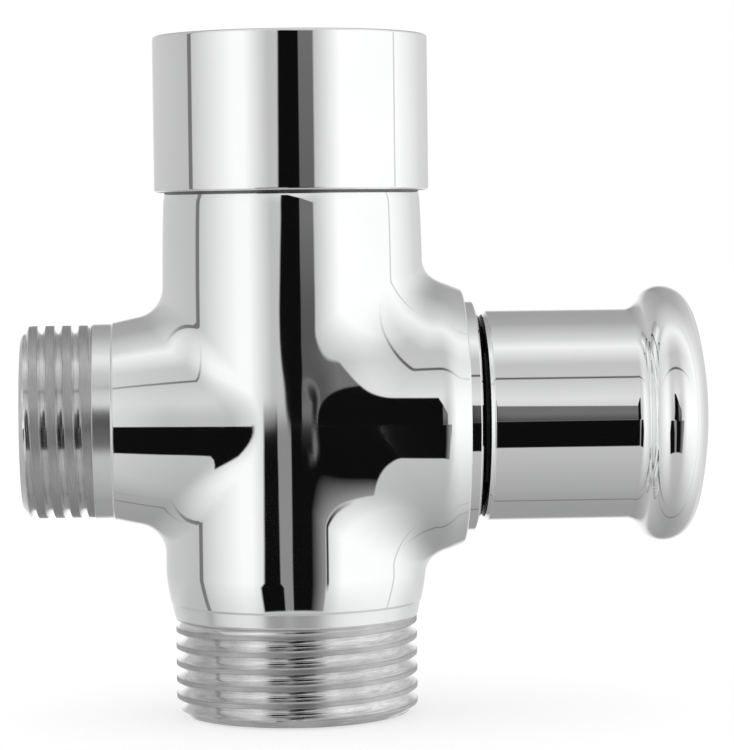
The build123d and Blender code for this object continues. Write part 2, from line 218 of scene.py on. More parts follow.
polished = chrome("chrome_polished", (0.93, 0.935, 0.94, 1), (0.965, 0.968, 0.97, 1), 0.035, 0.000018)
turned_chrome = chrome("chrome_turned", (0.94, 0.943, 0.946, 1), (0.97, 0.972, 0.974, 1), 0.03, 0.000002)
satin_chrome = chrome("chrome_satin", (0.9, 0.905, 0.91, 1), (0.95, 0.953, 0.956, 1), 0.26, 0.000004)
# Painted shade: dark chrome for the ledge's underside, the bonnet inside the knob and the knob's hollow,
# where shade falls
painted_shade = chrome("chrome_painted_shade", (0.1, 0.1, 0.1, 1), (0.16, 0.16, 0.16, 1), 0.5, 0.000004)
thread_z = machined("chrome_thread_z", (0.62, 0.62, 0.625, 1), (0.9, 0.9, 0.905, 1), 0.12, 0.24, ALONG_Z)
brass_x = machined("brass_turned", (0.6, 0.43, 0.2, 1), (0.82, 0.64, 0.34, 1), 0.22, 0.42, ALONG_X)
brass_cast = machined("brass_water_ways", (0.42, 0.31, 0.16, 1), (0.7, 0.54, 0.29, 1), 0.35, 0.6, EVEN)
steel_wire = machined("steel_wire", (0.45, 0.45, 0.45, 1), (0.72, 0.72, 0.71, 1), 0.2, 0.36, ALONG_X)
rubber = moulded("rubber_black", (0.02, 0.02, 0.021, 1), (0.045, 0.045, 0.048, 1), 0.5, 0.7, 900.0)
plastic = moulded("plastic_white", (0.78, 0.78, 0.75, 1), (0.86, 0.86, 0.84, 1), 0.35, 0.5, 500.0)


# Mesh helpers

# Facets round a turned piece: large ones, middling ones, and small or hidden ones
FINE = 192
MEDIUM = 160
COARSE = 96
# Distance in metres within which points are one
MERGE = 1e-7


def finish_piece(name, mesh, body, material, replaced):
    piece = bpy.data.objects.new(name, mesh)
    bpy.context.scene.collection.objects.link(piece)
    mesh.materials.append(material)
    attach(piece, body)
    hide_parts(*replaced)
    return piece


def make_mesh(name, points, faces, sharp_degrees):
    mesh = bpy.data.meshes.new(name)
    mesh.from_pydata((np.asarray(points) * MM).tolist(), [], faces)
    form = bmesh.new()
    form.from_mesh(mesh)
    bmesh.ops.remove_doubles(form, verts=form.verts, dist=MERGE)
    bmesh.ops.dissolve_degenerate(form, edges=form.edges, dist=MERGE)
    bmesh.ops.recalc_face_normals(form, faces=form.faces)
    form.to_mesh(mesh)
    form.free()
    mesh.shade_smooth()
    mesh.set_sharp_from_angle(angle=math.radians(sharp_degrees))
    return mesh


def rounded(corners, steps=4):
    """A polyline of (along, radius, fillet) corners with each corner rounded by an arc."""
    points = [np.array(c[:2], float) for c in corners]
    path = [points[0]]
    for before, here, after, corner in zip(points, points[1:], points[2:], corners[1:-1]):
        fillet = corner[2] if len(corner) > 2 else 0.0
        a = (before - here) / np.linalg.norm(before - here)
        b = (after - here) / np.linalg.norm(after - here)
        turn = math.acos(max(-1.0, min(1.0, float(a @ b))))
        if fillet <= 0 or turn > math.pi - 0.02:
            path.append(here)
            continue
        reach = fillet / math.tan(turn / 2)
        start = here + a * reach
        middle = here + (a + b) / np.linalg.norm(a + b) * (fillet / math.sin(turn / 2))
        first = start - middle
        last = here + b * reach - middle
        sweep = math.atan2(first[0] * last[1] - first[1] * last[0], float(first @ last))
        for k in range(steps + 1):
            angle = sweep * k / steps
            c, s = math.cos(angle), math.sin(angle)
            path.append(middle + np.array([first[0] * c - first[1] * s, first[0] * s + first[1] * c]))
    path.append(points[-1])
    return np.array(path)


def supported(path, length=0.4, inset=0.02):
    """Adds a point near each end of a long stretch, so that smooth shading stays flat along it."""
    result = [path[0]]
    for here, there in zip(path, path[1:]):
        span = np.linalg.norm(there - here)
        if span > length:
            step = (there - here) * inset / span
            result += [here + step, there - step]
        result.append(there)
    return np.array(result)


def turned(path, around, steps, closed):
    """Points and faces of a lathe form. The path holds (along, radius) pairs."""
    angles = np.arange(steps) * TURN / steps
    along = np.repeat(path[:, 0], steps)
    radius = np.repeat(path[:, 1], steps)
    c = np.tile(np.cos(angles), len(path))
    s = np.tile(np.sin(angles), len(path))
    if around == "z":
        points = np.stack([radius * c, radius * s, along], 1)
    else:
        points = np.stack([along, radius * c, radius * s + AXIS_Z], 1)
    rows = len(path)
    faces = []
    for i in range(rows if closed else rows - 1):
        low = i * steps
        high = (i + 1) % rows * steps
        for k in range(steps):
            m = (k + 1) % steps
            faces.append((low + k, low + m, high + m, high + k))
    return points, faces


def trim(form, place, outward, tolerance):
    """Cuts away what lies beyond a plane."""
    parts = form.verts[:] + form.edges[:] + form.faces[:]
    bmesh.ops.bisect_plane(
        form, geom=parts, dist=tolerance, plane_co=place, plane_no=outward, clear_outer=True
    )


def carried_faces(name, node, is_kept, cuts=()):
    """Those faces of a frame node whose middle passes the test, trimmed at the cuts."""
    form = bmesh.new()
    form.from_mesh(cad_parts[node].data)
    dropped = [f for f in form.faces if not is_kept(f.calc_center_median() / MM)]
    bmesh.ops.delete(form, geom=dropped, context="FACES")
    for place, outward in cuts:
        trim(form, place, outward, MERGE)
    mesh = bpy.data.meshes.new(name)
    form.to_mesh(mesh)
    form.free()
    mesh.shade_smooth()
    mesh.set_sharp_from_angle(angle=math.radians(SHARP_DEGREES))
    return mesh


def lathe(name, corners, around, body, material, replaced, steps, closed=False, sharp=SHARP_DEGREES):
    path = corners if isinstance(corners, np.ndarray) else rounded(corners)
    if not closed:
        path = supported(path)
    points, faces = turned(path, around, steps, closed)
    mesh = make_mesh(name, points, faces, sharp)
    return finish_piece(name, mesh, body, material, replaced)


# Casting: barrel, hose branch and knob boss in one skin with cast fillets

BARREL_R = 14.25
BARREL_FOOT = 12.4
BARREL_TOP = 57.05
# The barrel's three taperings: start, length along +Z, depth and power
NECK = (45.0, 12.0, 0.27, 2)
BROW = (55.8, 1.25, 0.14, 2)
FOOT = (15.6, -5.6, 1.15, 1.6)
# The hose branch opens from its cut, first faster and then slower, and the boss narrows at its end
HOSE_CUT = -19.5
HOSE_START_R = 10.8
HOSE_FLARE = 0.23
HOSE_ROOT_R = 14.03
HOSE_ROOT_FLARE = 0.15
HOSE_BEND = 0.3
BOSS_CUT = 18.25
BOSS_START_R = 13.9
BOSS_FLARE = 0.0656
BOSS_SHOULDER = (15.95, 14.95)
BOSS_BEVEL = 0.4
BOSS_BEND = 0.5
# Fillet radii where the round forms cross squarely, and where they nearly run alike
HOSE_FILLET = (2.6, 6.0)
BOSS_FILLET = (2.4, 24.0)
# The skin's grid in millimetres, and how often it is evened out
SKIN_STEP = 0.5
SKIN_MARGIN = 1.0
SKIN_REACH = 16.5
RELAX_ROUNDS = 6
# Tolerance of the cuts at the casting's ends, and how near to a cut a point counts as on it
CUT = 1e-4
ON_CUT = 1e-3


def tapering(z, form):
    start, length, depth, power = form
    return depth * np.clip((z - start) / length, 0, 1.2) ** power


def barrel_radius(z):
    return BARREL_R - tapering(z, NECK) - tapering(z, BROW) - tapering(z, FOOT)


def soft_min(a, b, width):
    mix = np.clip(0.5 + 0.5 * (b - a) / width, 0, 1)
    return b * (1 - mix) + a * mix - width * mix * (1 - mix)


def hose_radius(x):
    start = HOSE_START_R + HOSE_FLARE * (x - HOSE_CUT)
    return soft_min(start, HOSE_ROOT_R + HOSE_ROOT_FLARE * x, HOSE_BEND)


def boss_radius(x):
    shoulder_x, shoulder_r = BOSS_SHOULDER
    end = shoulder_r - BOSS_BEVEL * (x - shoulder_x)
    return soft_min(BOSS_START_R + BOSS_FLARE * x, end, BOSS_BEND)


def fillet_union(a, b, alike, fillet):
    """Union of two skins at heights a and b, whose outward directions have the cosine alike."""
    square, near = fillet
    radius = square + (near - square) * alike**2
    sine = 1 - alike**2
    u = radius - a
    v = radius - b
    share_a = (u - alike * v) / sine
    share_b = (v - alike * u) / sine
    inside = (share_a > 0) & (share_b > 0)
    reach = np.sqrt(np.where(inside, u * share_a + v * share_b, 0))
    return np.where(inside, radius - reach, np.minimum(a, b))


def casting(p):
    """Signed height over the casting's skin, below zero in the metal."""
    x, y, z = p[..., 0], p[..., 1], p[..., 2]
    around_z = np.hypot(x, y)
    around_x = np.hypot(y, z - AXIS_Z)
    barrel = around_z - barrel_radius(z)
    hose = np.maximum(around_x - hose_radius(x), x)
    boss = np.maximum(around_x - boss_radius(x), -x)
    alike = np.clip(y * y / (around_z * around_x + 1e-9), 0, 1 - 1e-10)
    left = fillet_union(barrel, hose, alike, HOSE_FILLET)
    right = fillet_union(barrel, boss, alike, BOSS_FILLET)
    return np.where(x < 0, left, right)


def slope(field, p, h=0.01):
    steps = np.eye(3) * h
    return np.stack([(field(p + s) - field(p - s)) / (2 * h) for s in steps], -1)


def surface_net(field, low, high, step):
    """Quads over the zero level of a field, one point in each grid cell that the level crosses."""
    counts = [int(round((b - a) / step)) + 1 for a, b in zip(low, high)]
    axes = [a + step * np.arange(n) for a, n in zip(low, counts)]
    values = field(np.stack(np.meshgrid(*axes, indexing="ij"), -1))
    cells = np.array(counts) - 1
    total = np.zeros((cells.prod(), 3))
    hits = np.zeros(cells.prod())
    quads = []
    for axis in range(3):
        here = [slice(None)] * 3
        there = [slice(None)] * 3
        here[axis] = slice(None, -1)
        there[axis] = slice(1, None)
        a, b = values[tuple(here)], values[tuple(there)]
        spots = np.argwhere((a < 0) != (b < 0))
        one = a[tuple(spots.T)]
        two = b[tuple(spots.T)]
        crossing = spots.astype(float)
        crossing[:, axis] += one / (one - two)
        u, v = (axis + 1) % 3, (axis + 2) % 3
        ring = []
        whole = np.ones(len(spots), bool)
        for du, dv in ((0, 0), (-1, 0), (-1, -1), (0, -1)):
            cell = spots.copy()
            cell[:, u] += du
            cell[:, v] += dv
            fits = ((cell >= 0) & (cell < cells)).all(1)
            whole &= fits
            index = np.ravel_multi_index(np.clip(cell, 0, cells - 1).T, cells)
            np.add.at(total, index[fits], crossing[fits])
            np.add.at(hits, index[fits], 1)
            ring.append(index)
        ring = np.stack(ring, 1)[whole]
        outward = (one < 0)[whole]
        quads.append(np.where(outward[:, None], ring, ring[:, ::-1]))
    quads = np.concatenate(quads)
    used = np.unique(quads)
    renumber = np.zeros(cells.prod(), int)
    renumber[used] = np.arange(len(used))
    points = np.array(low) + step * total[used] / hits[used][:, None]
    return points, renumber[quads]


def settle(field, points, rounds=2, held=None):
    for _ in range(rounds):
        g = slope(field, points)
        if held is not None:
            g = np.where(held, 0.0, g)
        points = points - g * (field(points) / (g * g).sum(1))[:, None]
    return points


def relax(field, points, quads, rounds):
    """Evens out the quads along the skin."""
    a = quads.ravel()
    b = np.roll(quads, -1, axis=1).ravel()
    for _ in range(rounds):
        total = np.zeros_like(points)
        count = np.zeros(len(points))
        np.add.at(total, a, points[b])
        np.add.at(total, b, points[a])
        np.add.at(count, a, 1)
        np.add.at(count, b, 1)
        points = settle(field, points + 0.5 * (total / count[:, None] - points), 1)
    return points


def on_cut(values, *cuts):
    return np.any([np.abs(values - cut) < ON_CUT for cut in cuts], axis=0)


def casting_mesh():
    low = (HOSE_CUT - SKIN_MARGIN, -SKIN_REACH, BARREL_FOOT - SKIN_MARGIN)
    high = (BOSS_CUT + SKIN_MARGIN, SKIN_REACH, BARREL_TOP + SKIN_MARGIN)
    points, quads = surface_net(casting, low, high, SKIN_STEP)
    points = settle(casting, points)
    points = relax(casting, points, quads, RELAX_ROUNDS)
    mesh = bpy.data.meshes.new("body_casting")
    mesh.from_pydata(points.tolist(), [], quads.tolist())
    form = bmesh.new()
    form.from_mesh(mesh)
    trim(form, (0, 0, BARREL_FOOT), (0, 0, -1), CUT)
    trim(form, (0, 0, BARREL_TOP), (0, 0, 1), CUT)
    trim(form, (HOSE_CUT, 0, 0), (-1, 0, 0), CUT)
    trim(form, (BOSS_CUT, 0, 0), (1, 0, 0), CUT)
    form.to_mesh(mesh)
    form.free()
    co = np.zeros(len(mesh.vertices) * 3)
    mesh.vertices.foreach_get("co", co)
    co = co.reshape(-1, 3)
    held = np.zeros((len(co), 3), bool)
    held[:, 0] = on_cut(co[:, 0], HOSE_CUT, BOSS_CUT)
    held[:, 2] = on_cut(co[:, 2], BARREL_FOOT, BARREL_TOP)
    co = settle(casting, co, 2, held)
    normals = slope(casting, co, 0.05)
    normals /= np.linalg.norm(normals, axis=1)[:, None]
    mesh.vertices.foreach_set("co", (co * MM).ravel())
    mesh.update()
    mesh.shade_smooth()
    mesh.normals_split_custom_set_from_vertices(normals.tolist())
    return mesh


finish_piece("body_casting", casting_mesh(), "valve", polished, ["valve_body"])


# Pipe threads: grids whose rows follow the helix

# Half a thread: distance from the middle of the root along the axis, and depth below the crest
SHARP_FORM = ((0.0, 1.162), (0.09, 1.1), (0.3, 0.7), (0.5, 0.32), (0.62, 0.09), (0.7, 0.0))
WORN_FORM = ((0.0, 0.8), (0.08, 0.76), (0.2, 0.56), (0.34, 0.24), (0.41, 0.07), (0.47, 0.0))
THREAD_STEPS = 160
THREAD_SHARP = 28.0
# Rounding at the mouths of the bores
BORE_EDGE = 0.35


def thread_stations(form):
    rising = list(form)
    falling = [(PITCH - a, d) for a, d in reversed(form[1:])]
    return np.array(rising + [(PITCH / 2, 0.0)] + falling)


def thread_depth(form, along, angle, phase):
    place = np.mod(along - phase - PITCH * angle / TURN, PITCH)
    table = thread_stations(form)
    return np.interp(place, np.append(table[:, 0], PITCH), np.append(table[:, 1], table[0, 1]))


def helical_grid(form, start, end, phase, radius_of, before, after, around):
    """A threaded tube from start to end along its axis, with plain rings before and after it."""
    offsets = thread_stations(form)[:, 0]
    first = math.floor((start - phase) / PITCH) - 1
    last = math.ceil((end - phase) / PITCH) + 1
    rows = np.concatenate([PITCH * n + offsets for n in range(first - 1, last + 1)])
    angles = np.linspace(0, TURN, THREAD_STEPS + 1)
    along = np.clip(rows[:, None] + phase + PITCH * angles[None, :] / TURN, start, end)
    radius = radius_of(along, np.broadcast_to(angles[None, :], along.shape))
    flat = np.ones(THREAD_STEPS + 1)
    first_rings = np.array(before)[:, :, None] * flat
    last_rings = np.array(after)[:, :, None] * flat
    along = np.concatenate([first_rings[:, 0], along, last_rings[:, 0]])
    radius = np.concatenate([first_rings[:, 1], radius, last_rings[:, 1]])
    c, s = np.cos(angles), np.sin(angles)
    if around == "z":
        points = np.stack([radius * c, radius * s, along], -1)
    else:
        points = np.stack([along, radius * c, radius * s + AXIS_Z], -1)
    count = THREAD_STEPS + 1
    faces = []
    for i in range(len(along) - 1):
        for k in range(THREAD_STEPS):
            a = i * count + k
            faces.append((a, a + 1, a + count + 1, a + count))
    return points.reshape(-1, 3), faces


SPOUT_MAJOR = 13.2205
SPOUT_BORE = 9.75
SPOUT_PHASE = 0.216
SPOUT_LEAD_R = 12.3
SPOUT_THREAD_END = 10.6
SPOUT_RUNOUT = (10.5, 1.1)


def spout_thread_radius(along, angle):
    runout_end, runout_length = SPOUT_RUNOUT
    fade = np.clip((runout_end - along) / runout_length, 0, 1)
    cut = SPOUT_MAJOR - thread_depth(SHARP_FORM, along, angle, SPOUT_PHASE) * fade
    return np.minimum(cut, SPOUT_LEAD_R + along)


spout_metal = threaded("chrome_spout_thread", ALONG_Z, (0, 0, 0), (1, 1, 0), SPOUT_MAJOR)
spout_before = [(BORE_EDGE, SPOUT_BORE), (0.0, SPOUT_BORE + BORE_EDGE)]
spout_after = [(SPOUT_THREAD_END, SPOUT_MAJOR)]
points, faces = helical_grid(
    SHARP_FORM, 0.0, SPOUT_THREAD_END, SPOUT_PHASE, spout_thread_radius, spout_before, spout_after, "z"
)
mesh = make_mesh("spout_thread", points, faces, THREAD_SHARP)
finish_piece("spout_thread", mesh, "valve", spout_metal, ["valve_body"])

spout_band = [
    (SPOUT_THREAD_END, SPOUT_MAJOR),
    (SPOUT_THREAD_END + 0.15, SPOUT_MAJOR + 0.1, 0.1),
    (BARREL_FOOT - 0.25, SPOUT_MAJOR + 0.42, 0.15),
    (BARREL_FOOT, float(barrel_radius(np.array(BARREL_FOOT)))),
]
lathe("spout_band", spout_band, "z", "valve", satin_chrome, ["valve_body"], MEDIUM)

HOSE_MAJOR = 10.4775
HOSE_END = -29.55
HOSE_BORE = 7.0
HOSE_PHASE = 1.195
HOSE_LEAD_R = 9.4
HOSE_LEAD_SLOPE = 1.25
HOSE_THREAD_END = -21.8
HOSE_RUNOUT = (-21.9, 0.7)


def hose_thread_radius(along, angle):
    runout_end, runout_length = HOSE_RUNOUT
    fade = np.clip((runout_end - along) / runout_length, 0, 1)
    cone = HOSE_LEAD_R + HOSE_LEAD_SLOPE * (along - HOSE_END)
    return np.minimum(HOSE_MAJOR - thread_depth(WORN_FORM, along, angle, HOSE_PHASE) * fade, cone)


branch_axis = (0, 0, AXIS_Z * MM)
hose_metal = threaded("chrome_hose_thread", ALONG_X, branch_axis, (0, 1, 1), HOSE_MAJOR)
hose_before = [(HOSE_END + BORE_EDGE, HOSE_BORE), (HOSE_END, HOSE_BORE + BORE_EDGE)]
hose_after = [(HOSE_THREAD_END, HOSE_MAJOR)]
points, faces = helical_grid(
    WORN_FORM, HOSE_END, HOSE_THREAD_END, HOSE_PHASE, hose_thread_radius, hose_before, hose_after, "x"
)
mesh = make_mesh("hose_thread", points, faces, THREAD_SHARP)
finish_piece("hose_thread", mesh, "valve", hose_metal, ["valve_body"])

hose_land = [
    (HOSE_THREAD_END, HOSE_MAJOR),
    (HOSE_THREAD_END + 0.05, HOSE_MAJOR + 0.12, 0.04),
    (HOSE_CUT - 0.3, HOSE_MAJOR + 0.12, 0.1),
    (HOSE_CUT - 0.12, HOSE_MAJOR + 0.3, 0.08),
    (HOSE_CUT, float(hose_radius(np.array(HOSE_CUT)))),
]
lathe("hose_land", hose_land, "x", "valve", satin_chrome, ["valve_body"], MEDIUM)

# Inlet socket: outside, rim and mouth, then the female thread down to its relief

SOCKET_R = 15.0
SOCKET_TOP = 73.9
MOUTH_R = 13.7
INLET_MAJOR = 13.2205
# Radii between which the ledge's underside carries painted shade, and the height of the foot of the
# mouth's bevel
LEDGE_INNER_R = 13.0
LEDGE_R = 14.7
BEVEL_Z = 73.3
socket_corners = [
    (BARREL_TOP, LEDGE_R),
    (BARREL_TOP, SOCKET_R, 0.22),
    (SOCKET_TOP, SOCKET_R, 0.28),
    (SOCKET_TOP, MOUTH_R, 0.12),
    (BEVEL_Z, INLET_MAJOR),
    (BEVEL_Z - 1.1, 13.15),
]
lathe("inlet_socket", socket_corners, "z", "valve", turned_chrome, ["valve_body"], FINE)
# Painted shade: the ledge's underside is dark chrome for the shade that falls under the ledge
ledge = [(BARREL_TOP, LEDGE_INNER_R), (BARREL_TOP, LEDGE_R)]
lathe("socket_ledge", ledge, "z", "valve", painted_shade, ["valve_body"], FINE)

INLET_MINOR = 12.0585
INLET_PHASE = 0.4
INLET_START = 62.0
INLET_FADE = 0.5
INLET_END = 72.5
INLET_MOUTH = 71.4
RELIEF_R = 13.4
THREAD_DEPTH = SHARP_FORM[0][1]


def inlet_thread_radius(along, angle):
    depth = thread_depth(SHARP_FORM, along, angle, INLET_PHASE)
    fade = np.clip((along - INLET_START) / INLET_FADE, 0, 1)
    mouth = INLET_MINOR + np.clip(along - INLET_MOUTH, 0, 1) * THREAD_DEPTH
    return np.maximum(INLET_MINOR + (THREAD_DEPTH - depth) * fade, mouth)


inlet_before = [(INLET_START, RELIEF_R)]
inlet_after = [(INLET_END + 0.1, 13.25)]
points, faces = helical_grid(
    SHARP_FORM, INLET_START, INLET_END, INLET_PHASE, inlet_thread_radius, inlet_before, inlet_after, "z"
)
mesh = make_mesh("inlet_thread", points, faces, THREAD_SHARP)
finish_piece("inlet_thread", mesh, "valve", thread_z, ["valve_body"])

# Ring face of the knob boss behind the bonnet's flange
BOSS_FACE = 18.4
BOSS_BORE_R = 11.0
boss_edge = float(boss_radius(np.array(BOSS_CUT)))
boss_corners = [(BOSS_CUT, boss_edge), (BOSS_FACE, boss_edge - 0.2, 0.1), (BOSS_FACE, BOSS_BORE_R)]
lathe("boss_face", boss_corners, "x", "valve", turned_chrome, ["valve_body"], MEDIUM)

# Water ways: the casting's hidden inner faces, carried over as they are in the frame

BOSS_MOUTH = 17.5
WALL_SLACK = 0.15
INNER_DEPTH = 0.8


def is_inner(centre):
    x, y, z = centre
    around_z = math.hypot(x, y)
    around_x = math.hypot(y, z - AXIS_Z)
    if z < BARREL_FOOT:
        return around_z < SPOUT_BORE + WALL_SLACK
    if z > BARREL_TOP:
        in_relief = z < INLET_START + WALL_SLACK and around_z < RELIEF_R + WALL_SLACK
        return in_relief or around_z < INLET_MINOR - WALL_SLACK
    if x < HOSE_CUT:
        return around_x < HOSE_BORE + WALL_SLACK
    if x > BOSS_MOUTH:
        return around_x < BOSS_BORE_R + WALL_SLACK
    return float(casting(np.array(centre))) < -INNER_DEPTH


bore_ends = (
    ((0, 0, BORE_EDGE * MM), (0, 0, -1)),
    (((HOSE_END + BORE_EDGE) * MM, 0, 0), (-1, 0, 0)),
)
water_ways = carried_faces("water_ways", "valve_body", is_inner, bore_ends)
finish_piece("water_ways", water_ways, "valve", brass_cast, ["valve_body"])

# Bonnet: the polished flange that shows, and the rest as it is in the frame, in dark chrome as painted
# shade for the gap before the knob

FLANGE_FRONT = 20.15
FLANGE_R = 12.6
FLANGE_TIP_R = 11.2
FLANGE_STEP = 19.55
FLANGE_INNER_R = 10.5
flange_corners = [
    (BOSS_FACE, FLANGE_INNER_R),
    (BOSS_FACE, FLANGE_R, 0.1),
    (FLANGE_STEP, FLANGE_R, 0.14),
    (FLANGE_FRONT, FLANGE_TIP_R, 0.1),
    (FLANGE_FRONT, FLANGE_TIP_R - 0.3),
]
lathe("bonnet_flange", flange_corners, "x", "valve", turned_chrome, ["bonnet"], MEDIUM)


def off_flange(centre):
    x, y, z = centre
    around_x = math.hypot(y, z - AXIS_Z)
    return around_x <= FLANGE_TIP_R - 0.05 or not BOSS_FACE - 0.01 < x < FLANGE_FRONT + 0.01


# Painted shade: the bonnet's neck and face inside the knob are dark chrome, so that the gap reads dark
bonnet_core = carried_faces("bonnet_core", "bonnet", off_flange)
finish_piece("bonnet_core", bonnet_core, "valve", painted_shade, ["bonnet"])

# Knob: a hollow turned cap with a waist, a full rim and a domed face

KNOB_START = 20.66
KNOB_R = 11.55
KNOB_CHAMFER = 0.45
GRIP_END = 30.0
HUB_R = 5.6
HUB_END = 33.0
HUB_BORE_R = 3.0
CAVITY_R = 9.85
CAVITY_END = 41.24
WAIST_ARC = 1.71
RIM_X = 40.36
RIM_TOP_R = 14.06
RIM_BACK_ARC = 2.79
RIM_FRONT_ARC = 3.14
RIM_FRONT_TURN = 35.5
EDGE_ARC = 5.46
EDGE_TURN = 15.5


def arc(middle, radius, start, end, steps):
    angles = np.radians(np.linspace(start, end, steps + 1))
    return [(middle[0] + radius * math.cos(a), middle[1] + radius * math.sin(a)) for a in angles]


def arc_centre(end, radius, turn):
    angle = math.radians(turn)
    return end[0] - radius * math.cos(angle), end[1] - radius * math.sin(angle)


def knob_path():
    """The knob's outside from its open end to the middle of its face, all arcs tangent."""
    waist_r = KNOB_R + WAIST_ARC
    back_r = RIM_TOP_R - RIM_BACK_ARC
    reach = math.sqrt((RIM_BACK_ARC + WAIST_ARC) ** 2 - (waist_r - back_r) ** 2)
    waist_x = RIM_X - reach
    touch = math.degrees(math.atan2(back_r - waist_r, reach))
    mouth = (KNOB_START, KNOB_R - KNOB_CHAMFER)
    grip = rounded([mouth, (KNOB_START + KNOB_CHAMFER, KNOB_R, 0.3), (GRIP_END, KNOB_R)])
    path = [tuple(p) for p in grip]
    path += arc((waist_x, waist_r), WAIST_ARC, -90, touch, 14)
    path += arc((RIM_X, back_r), RIM_BACK_ARC, 180 + touch, 90, 20)
    path += arc((RIM_X, RIM_TOP_R - RIM_FRONT_ARC), RIM_FRONT_ARC, 90, RIM_FRONT_TURN, 12)[1:]
    edge = arc_centre(path[-1], EDGE_ARC, RIM_FRONT_TURN)
    path += arc(edge, EDGE_ARC, RIM_FRONT_TURN, EDGE_TURN, 6)[1:]
    dome_r = path[-1][1] / math.sin(math.radians(EDGE_TURN))
    dome = arc_centre(path[-1], dome_r, EDGE_TURN)
    path += arc(dome, dome_r, EDGE_TURN, 0, 12)[1:]
    return np.array(path)


# Painted shade: the knob's hollow and its end face are dark chrome, for the shade in the gap behind the
# flange
cavity = [(CAVITY_END, 0.0), (CAVITY_END, CAVITY_R), (KNOB_START, CAVITY_R)]
cavity += [(KNOB_START, KNOB_R - KNOB_CHAMFER)]
lathe(
    "knob_shell", knob_path(), "x", "knob_and_stem", turned_chrome, ["knob"], FINE, sharp=40.0
)
lathe("knob_cavity", cavity, "x", "knob_and_stem", painted_shade, ["knob"], COARSE)
hub_corners = [(CAVITY_END, HUB_R), (HUB_END, HUB_R, 0.3), (HUB_END, HUB_BORE_R)]
lathe("knob_hub", hub_corners, "x", "knob_and_stem", brass_x, ["knob"], COARSE)

# Finishes of the nodes that keep their own shape
kept = {
    "gland_bush": plastic,
    "stem": brass_x,
    "seat_cage": plastic,
    "spring_washer": steel_wire,
    "back_washer": brass_x,
    "front_washer": brass_x,
    "tail_nut": brass_x,
    "valve_disc": brass_x,
    "hose_seal": rubber,
    "spout_seal": rubber,
    "knob_lock_nut": brass_x,
    "inlet_washer": rubber,
}
for node, material in kept.items():
    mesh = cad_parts[node].data
    mesh.materials.clear()
    mesh.materials.append(material)

# O-rings with the rounded section that the square-cut solids stand in for
RING_ROUNDING = 0.42
for node in ("cage_o_ring", "bonnet_o_ring", "stem_o_ring_inner", "stem_o_ring_outer"):
    low, high = (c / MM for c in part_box(node))
    co = np.array([v.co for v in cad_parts[node].data.vertices]) / MM
    around = np.hypot(co[:, 1], co[:, 2] - AXIS_Z)
    inner, outer = float(around.min()), float(around.max())
    edge = RING_ROUNDING * min(outer - inner, high[0] - low[0])
    ring = [(low[0], (inner + outer) / 2), (low[0], inner, edge), (high[0], inner, edge)]
    ring += [(high[0], outer, edge), (low[0], outer, edge), (low[0], (inner + outer) / 2)]
    ring = rounded(ring, 6)[:-1]
    lathe(node + "_round", ring, "x", "valve", rubber, [node], COARSE, closed=True, sharp=60.0)


# Return spring: round wire with flattened end turns

SPRING_END = 22.55
SPRING_LENGTH = 13.85


def spring_mesh():
    start = SPRING_END - SPRING_LENGTH
    end = SPRING_END
    wire = 0.45
    mean = 4.75
    dead = 0.75
    turns = 6.0
    per_turn = 48
    sides = 12
    count = int(turns * per_turn)
    t = np.linspace(0, turns, count + 1)
    gap = (end - start - 2 * wire) - 2 * dead * 2 * wire
    free = turns - 2 * dead
    rise = np.where(
        t < dead, t * 2 * wire, np.where(
            t > turns - dead,
            end - start - 2 * wire - (turns - t) * 2 * wire,
            dead * 2 * wire + (t - dead) / free * gap,
        )
    )
    along = start + wire + rise
    angle = t * TURN
    centre = np.stack([along, mean * np.cos(angle), mean * np.sin(angle) + AXIS_Z], 1)
    outward = np.stack([np.zeros_like(t), np.cos(angle), np.sin(angle)], 1)
    tangent = np.gradient(centre, axis=0)
    tangent /= np.linalg.norm(tangent, axis=1)[:, None]
    side = np.cross(tangent, outward)
    ring = np.arange(sides) * TURN / sides
    points = centre[:, None] + wire * (
        outward[:, None] * np.cos(ring)[None, :, None] + side[:, None] * np.sin(ring)[None, :, None]
    )
    points[..., 0] = np.clip(points[..., 0], start, end)
    faces = []
    for i in range(count):
        for k in range(sides):
            m = (k + 1) % sides
            a = i * sides
            faces.append((a + k, a + m, a + sides + m, a + sides + k))
    faces.append(tuple(range(sides)))
    faces.append(tuple(count * sides + k for k in reversed(range(sides))))
    return make_mesh("spring_wire", points.reshape(-1, 3), faces, 50.0)


spring = finish_piece("spring_wire", spring_mesh(), "valve", steel_wire, ["return_spring"])
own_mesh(spring)


# Camera at the photograph's place

camera = bpy.data.objects.new("camera", bpy.data.cameras.new("camera"))
bpy.context.scene.collection.objects.link(camera)
camera.data.sensor_width = 36.0
camera.data.lens = 148.84
camera.data.clip_start = 0.01
camera.data.clip_end = 20.0
right = Vector((0.99838208, -0.05566115, -0.01162184))
up = Vector((0.0142782, 0.04756643, 0.99876602))
forward = Vector((0.05503965, 0.99731603, -0.04828421))
turn = Matrix((right, up, -forward)).transposed().to_4x4()
eye = Vector((-0.01065661, -0.33918006, 0.0532552))
camera.matrix_world = Matrix.Translation(eye) @ turn
bpy.context.scene.camera = camera


# Studio: white surroundings, and dark and grey panels that only the metal shows

MIRROR = 0.95
SCREEN_GAMMA = 2.2
FULL_TURN = 360.0
